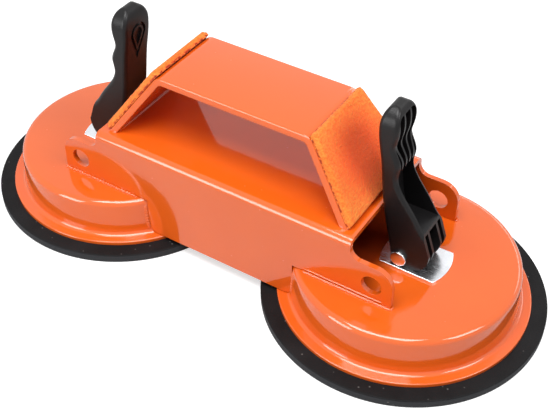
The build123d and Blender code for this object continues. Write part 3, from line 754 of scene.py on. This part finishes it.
class LIFTER_OT_pads(bpy.types.Operator):
    """Felt pads on the handle's legs: crowned slabs, puffed a little by a cloth simulation."""
    bl_idname = "lifter.pads"
    bl_label = "Grip pads"

    def execute(self, context):
        for side, sign in SIDES.items():
            self.pad(side, sign)
        return {"FINISHED"}

    def pad(self, side, sign):
        """Slab with u across and v up the leg; its outer face sinks towards the rim by a
        superellipse, and sums of sines along u and v make it a little uneven."""
        s = sizes()
        root, up, out, leg = handle_leg()
        foot_gap, edge_gap, glue, clear = 0.0007, 0.0002, 0.00012, 0.00003
        bulge, rim_share, rough = 2.6, 0.6, 0.00006
        start, end = foot_gap, leg + s.pad_overhang - edge_gap
        u, v = np.meshgrid(np.linspace(-1, 1, 49), np.linspace(0, 1, 61))
        length_along = start + (end - start) * v
        half = strip_half(length_along / leg) - edge_gap
        near_edge = np.minimum((1 - np.abs(u)) * half, np.minimum(v, 1 - v) * (end - start))
        edge = np.clip(near_edge / s.pad_edge, 0, 1)
        shoulder = (1 - (1 - edge) ** bulge) ** (1 / bulge)
        thick = (s.pad_thick - s.pad_swell) * (rim_share + (1 - rim_share) * shoulder)
        felt = rough * (np.sin(410 * u * half * 6 + 3 * v) * np.sin(37 * v + 5 * u) +
                        0.6 * np.sin(83 * v + 11 * u) * np.sin(61 * u - 19 * v))
        top = glue + clear + thick + felt * edge
        flat = root + up * length_along[..., None] + np.array([0, 1, 0]) * (u * half)[..., None]
        grid = np.concatenate([flat + out * glue, (flat + out * top[..., None])[:, ::-1]], axis=1)
        grid = np.concatenate([grid[:1].mean(axis=1, keepdims=True) + 0 * grid[:1], grid,
                               grid[-1:].mean(axis=1, keepdims=True) + 0 * grid[-1:]])
        mirror = (sign, 1, 1)
        piece = add_piece(f"grip_pad_{side}", grid * mirror, None, pad_felt(),
                          closed=(False, True), sharp=60.0)
        self.puff(piece, out * mirror, root * mirror)
        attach(piece, "frame")
        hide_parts(f"handle_pad_{side}")

    def puff(self, piece, out, root):
        """Cloth with a little pressure, glued along the leg; each point's move is capped."""
        mesh = piece.data
        rest = np.zeros(len(mesh.vertices) * 3)
        mesh.vertices.foreach_get("co", rest)
        rest = rest.reshape(-1, 3)
        glue_depth, frames = 0.0004, 12
        glued = (rest - root) @ out < glue_depth
        group = piece.vertex_groups.new(name="glued")
        group.add(np.nonzero(glued)[0].tolist(), 1.0, "REPLACE")
        cloth = piece.modifiers.new("Puff", "CLOTH")
        cloth.settings.quality = 4
        cloth.settings.use_pressure = True
        cloth.settings.uniform_pressure_force = 3.0
        cloth.settings.vertex_group_mass = "glued"
        cloth.settings.effector_weights.gravity = 0.0
        cloth.settings.tension_stiffness = 30.0
        cloth.settings.bending_stiffness = 2.0
        scene = bpy.context.scene
        for number in range(1, frames + 1):
            scene.frame_set(number)
        shaped = piece.evaluated_get(bpy.context.evaluated_depsgraph_get()).to_mesh()
        moved = np.zeros(len(shaped.vertices) * 3)
        shaped.vertices.foreach_get("co", moved)
        piece.to_mesh_clear()
        piece.modifiers.remove(cloth)
        scene.frame_set(1)
        step = moved.reshape(-1, 3) - rest
        size = np.linalg.norm(step, axis=1)[:, None]
        step *= np.minimum(1, sizes().pad_swell / np.maximum(size, 1e-9))
        mesh.vertices.foreach_set("co", (rest + step).ravel())
        mesh.update()


class LIFTER_OT_channel(bpy.types.Operator):
    """Folded channel with its ears, its cut edges rounded as a thick coat of paint leaves them."""
    bl_idname = "lifter.channel"
    bl_label = "Channel and weld beads"

    def execute(self, context):
        softened_copy("channel", "folded_channel", "frame", powder_coat(),
                      sizes().edge_soft)
        self.beads()
        self.ear_seams()
        return {"FINISHED"}

    def beads(self):
        """Weld beads on the skirts' ends and inside the handle's feet, half in the sheets; the
        first bead of each CAD node stands for that node."""
        s = sizes()
        low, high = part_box("channel_welds")
        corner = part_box("handle_welds")[1]
        lean, sunk = 0.0011, 0.0001
        lines = []
        for sign in SIDES.values():
            for face in (-1, 1):
                flank = CHANNEL_HIGH.y - 2 * sunk
                foot = (sign * (high.x + 2 * sunk - lean), face * flank, low.z)
                head = (foot[0] + sign * lean, foot[1], high.z)
                lines.append(("channel_welds", foot, head, s.corner_bead, 0.20))
        for sign in SIDES.values():
            foot = (sign * (corner.x - sunk), -corner.y, HANDLE_LOW.z + sunk)
            head = (foot[0], corner.y, foot[2])
            lines.append(("handle_welds", foot, head, s.handle_bead, 0.03))
        for index, (node, foot, head, radius, swell) in enumerate(lines):
            bead = self.bead(f"weld_bead_{index + 1}", np.array([foot, head]), radius, swell)
            if index in (0, 4):
                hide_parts(node)

    def ear_seams(self):
        """Thin seams on the covers along the ears' lower edges, curled round the ears' ends; on
        the right a second, shorter line runs above the first, on the ear's own face."""
        s = sizes()
        face, end, top = CHANNEL_HIGH.y, CHANNEL_HIGH.x, COVER_HIGH.z
        out = s.ear_bead * 0.8
        flat = s.side_top - s.rim_round
        start = CUP_X - math.sqrt(flat ** 2 - face ** 2) + s.ear_bead
        turn = 0.0009
        for side, sign in SIDES.items():
            for place, toward in (("near", -1), ("far", 1)):
                line = rounded_line([(start, face + out), (end + out, face + out),
                                     (end + out, face - 0.002)], [0, turn, 0], steps=9)
                path = np.column_stack([sign * line[:, 0], toward * line[:, 1],
                                        np.full(len(line), top + s.ear_bead * 0.3)])
                self.bead(f"ear_seam_{side}_{place}", path, s.ear_bead, 0.9 if sign < 0 else 0.07)
                if sign > 0:
                    level = top + 2.6 * s.ear_bead
                    upper = np.array([[start + turn, toward * face, level],
                                      [end - 4 * turn, toward * face, level]])
                    self.bead(f"ear_line_{side}_{place}", upper, s.ear_bead * 0.7, 0.05)

    def bead(self, name, corners, radius, swell):
        """Rippled tube through the corner points: its radius grows by a share of |sin| along
        it, tapers off at both ends, and its height sways a little with a slower sine."""
        pitch, wander, sway, step = 0.0013, 0.0021, 0.0023, 0.00018
        legs = np.linalg.norm(np.diff(corners, axis=0), axis=1)
        mark = np.concatenate([[0], np.cumsum(legs)])
        along = np.linspace(0, mark[-1], max(24, int(mark[-1] / step)))
        path = np.column_stack([np.interp(along, mark, corners[:, axis]) for axis in range(3)])
        phase = along / pitch + 0.35 * np.sin(along / wander)
        ripple = 1 + swell * (np.abs(np.sin(math.pi * phase)) - 0.5)
        taper = np.sqrt(np.clip(1 - np.abs(2 * along / mark[-1] - 1) ** 24, 0, 1))
        path[:, 2] += 0.08 * radius * np.sin(along / sway)
        return add_piece(name, tube(path, radius * ripple * taper, 14), "frame",
                         powder_coat(), closed=(False, True), sharp=80.0)


class LIFTER_OT_levers(bpy.types.Operator):
    """Moulded flip levers, with their grip, hollow, ribs and recess as the CAD frame has them."""
    bl_idname = "lifter.levers"
    bl_label = "Levers"

    def execute(self, context):
        for side in SIDES:
            dress(f"lever_{side}", satin_plastic())
        return {"FINISHED"}


class LIFTER_OT_pins(bpy.types.Operator):
    """Cross pins: shaft, domed head and rivet, swung round the pin's own line."""
    bl_idname = "lifter.pins"
    bl_label = "Lever pins"

    def execute(self, context):
        s = sizes()
        near, far = PIN_LOW.y, PIN_HIGH.y
        head, shaft, rivet = (PIN_HIGH.x - PIN_LOW.x) / 2, 0.002, 0.0028
        seat, shoulder = near + 0.0015, far - 0.0011
        outline = rounded_line(
            [(0, near), (head * 0.55, near + 0.00005), (head - 0.0001, near + 0.00022),
             (head, seat), (shaft, seat), (shaft, shoulder), (rivet, shoulder),
             (rivet - 0.0002, far - 0.0001), (0, far)],
            [0, 0.001, s.pin_round, 0.0001, 0, 0, 0.0001, s.pin_round, 0], steps=6)
        for side, sign in SIDES.items():
            points = revolve(outline, (sign * CUP_X, 0, PIN_Z), 64, axis="y")
            piece = add_piece(f"cross_pin_{side}", points, f"stud_{side}",
                              polished_steel(), closed=(True, False))
            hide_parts(f"lever_pin_{side}")
        return {"FINISHED"}


class LIFTER_OT_springs(bpy.types.Operator):
    """Return springs: a coil under each cover."""
    bl_idname = "lifter.springs"
    bl_label = "Return springs"

    def execute(self, context):
        """Helix: radius R, height rising evenly with the turn a, at (R cos a, R sin a, h)."""
        s = sizes()
        coil = (SPRING_HIGH.x - SPRING_LOW.x - s.wire) / 2
        low, high = SPRING_LOW.z + s.wire / 2, SPRING_HIGH.z - s.wire / 2
        t = np.linspace(0, 1, 240)
        turn = 2 * math.pi * s.turns * t
        for side, sign in SIDES.items():
            path = np.column_stack([sign * CUP_X + coil * np.cos(turn), coil * np.sin(turn),
                                    low + (high - low) * t])
            piece = add_piece(f"coil_{side}", tube(path, s.wire / 2, 16), "frame",
                              drawn_steel(), closed=(False, True))
            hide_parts(f"return_spring_{side}")
            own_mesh(piece)
        return {"FINISHED"}


class LIFTER_OT_plates(bpy.types.Operator):
    """Polished wear plates, pull studs and anchor plates, with softened edges."""
    bl_idname = "lifter.plates"
    bl_label = "Plates and studs"

    def execute(self, context):
        for side in SIDES:
            softened_copy(f"wear_plate_{side}", f"foot_plate_{side}", "frame",
                          polished_steel(), 0.00012, segments=2)
            dress(f"pull_stud_{side}", drawn_steel())
            dress(f"anchor_plate_{side}", drawn_steel())
        return {"FINISHED"}


# Stage

class LifterStage(bpy.types.PropertyGroup):
    """Camera, light and floor."""
    azimuth: FloatProperty(name="Azimuth", default=0.557, subtype="ANGLE",
                           description="Camera's turn from straight in front towards the right")
    elevation: FloatProperty(name="Elevation", default=0.733, subtype="ANGLE",
                             description="Camera's height above the horizon")
    roll: FloatProperty(name="Roll", default=0.006, subtype="ANGLE", description="Camera's tilt")
    distance: length("Distance", 0.43828, "From the camera to the point it looks at", high=5.0)
    focal: FloatProperty(name="Lens", default=67.24, unit="CAMERA", description="Focal length")
    world: FloatProperty(name="Ambient light", default=0.10, min=0.0, max=3.0, subtype="FACTOR",
                         description="Strength of the even light from all sides")
    key: power("Main light", 8.9, "Large lamp overhead")
    fill: power("Side light", 4.0, "Lamp on the right")
    rim: power("Back light", 1.8, "Strip behind")
    front: power("Front light", 5.2, "Lamp on the left")


class LIFTER_OT_stage(bpy.types.Operator):
    """Pale floor, white surroundings, soft lamps and the camera."""
    bl_idname = "lifter.stage"
    bl_label = "Floor, light and camera"

    def execute(self, context):
        stage = context.scene.lifter_stage
        scene = context.scene
        scene.view_settings.view_transform = "Standard"
        self.camera(scene, stage)
        self.surroundings(scene, stage)
        self.floor()
        self.lamp("Main softbox", (0.04, -0.24, 0.93), (0.6, 0.5), stage.key)
        self.lamp("Side softbox", (0.76, 0.02, 0.76), (0.45, 0.35), stage.fill)
        self.lamp("Back strip", (0.15, 0.95, 0.6), (0.9, 0.2), stage.rim)
        self.lamp("Front softbox", (-0.42, -0.93, 0.33), (0.42, 0.56), stage.front)
        return {"FINISHED"}

    def camera(self, scene, stage):
        cos_a, sin_a = math.cos(stage.azimuth), math.sin(stage.azimuth)
        cos_e, sin_e = math.cos(stage.elevation), math.sin(stage.elevation)
        back = Vector((sin_a * cos_e, -cos_a * cos_e, sin_e))
        level = Vector((0, 0, 1)).cross(back).normalized()
        upright = back.cross(level)
        cos_r, sin_r = math.cos(stage.roll), math.sin(stage.roll)
        right = cos_r * level + sin_r * upright
        up = -sin_r * level + cos_r * upright
        data = bpy.data.cameras.new("Camera")
        data.sensor_width = 36.0
        data.lens = stage.focal
        data.clip_start, data.clip_end = 0.01, 20.0
        camera = new_object("Camera", data)
        turned = Matrix((right, up, back)).transposed().to_4x4()
        camera.matrix_world = Matrix.Translation(LOOK_AT + back * stage.distance) @ turned
        scene.camera = camera

    def surroundings(self, scene, stage):
        """White where the camera or a glossy surface looks; softer as a light."""
        world = bpy.data.worlds.new("White surroundings")
        world.use_nodes = True
        scene.world = world
        tree = Nodes(world.node_tree)
        shader = world.node_tree.nodes["Background"]
        path = tree.add("ShaderNodeLightPath").outputs
        seen = tree.math("ADD", path["Is Camera Ray"], path["Is Glossy Ray"])
        seen = tree.math("MINIMUM", seen, 1.0)
        level = tree.add("ShaderNodeMapRange", inputs={0: seen, 3: stage.world, 4: 1.0})
        tree.plug(shader.inputs, {"Color": (1, 1, 1), "Strength": level.outputs[0]})

    def floor(self):
        """Wide plain floor that the camera sees near white, keeping the object's soft shadow."""
        reach = np.array([-1.0, 1.0]) * 4.0
        x, y = np.meshgrid(reach, reach, indexing="ij")
        points = np.stack([x, y, 0 * x - 0.00005], -1)
        mesh = bpy.data.meshes.new("Floor")
        mesh.from_pydata(points.reshape(-1, 3).tolist(), [], [(0, 2, 3, 1)])
        floor = new_object("Floor", mesh)
        mesh.materials.append(pale_floor())

    def lamp(self, name, place, size, watts):
        data = bpy.data.lights.new(name, "AREA")
        data.shape = "RECTANGLE"
        data.size, data.size_y = size
        data.energy = watts
        lamp = new_object(name, data)
        lamp.location = place
        lamp.rotation_euler = (Vector(place) - LAMP_AIM).to_track_quat("Z", "Y").to_euler()


class LIFTER_PT_panel(bpy.types.Panel):
    """Lists the pieces, sizes and colours in the sidebar."""
    bl_idname = "LIFTER_PT_panel"
    bl_label = "Suction cup lifter"
    bl_space_type = "VIEW_3D"
    bl_region_type = "UI"
    bl_category = "Lifter"

    def draw(self, context):
        layout = self.layout
        for operator in OPERATORS:
            layout.operator(operator.bl_idname)
        scene = context.scene
        for group in (scene.lifter_sizes, scene.lifter_colours, scene.lifter_stage):
            column = layout.column(align=True)
            for key in type(group).__annotations__:
                column.prop(group, key)


OPERATORS = (LIFTER_OT_covers, LIFTER_OT_rubber, LIFTER_OT_channel, LIFTER_OT_handle,
             LIFTER_OT_pads, LIFTER_OT_levers, LIFTER_OT_pins, LIFTER_OT_plates,
             LIFTER_OT_springs, LIFTER_OT_stage)
CLASSES = (LifterSizes, LifterColours, LifterStage, *OPERATORS, LIFTER_PT_panel)


def register():
    for item in CLASSES:
        bpy.utils.register_class(item)
    bpy.types.Scene.lifter_sizes = PointerProperty(type=LifterSizes)
    bpy.types.Scene.lifter_colours = PointerProperty(type=LifterColours)
    bpy.types.Scene.lifter_stage = PointerProperty(type=LifterStage)


def unregister():
    del bpy.types.Scene.lifter_sizes
    del bpy.types.Scene.lifter_colours
    del bpy.types.Scene.lifter_stage
    for item in reversed(CLASSES):
        bpy.utils.unregister_class(item)


def main():
    register()
    bpy.ops.lifter.covers()
    bpy.ops.lifter.rubber()
    bpy.ops.lifter.channel()
    bpy.ops.lifter.handle()
    bpy.ops.lifter.pads()
    bpy.ops.lifter.levers()
    bpy.ops.lifter.pins()
    bpy.ops.lifter.plates()
    bpy.ops.lifter.springs()
    bpy.ops.lifter.stage()


if __name__ == "__main__":
    main()
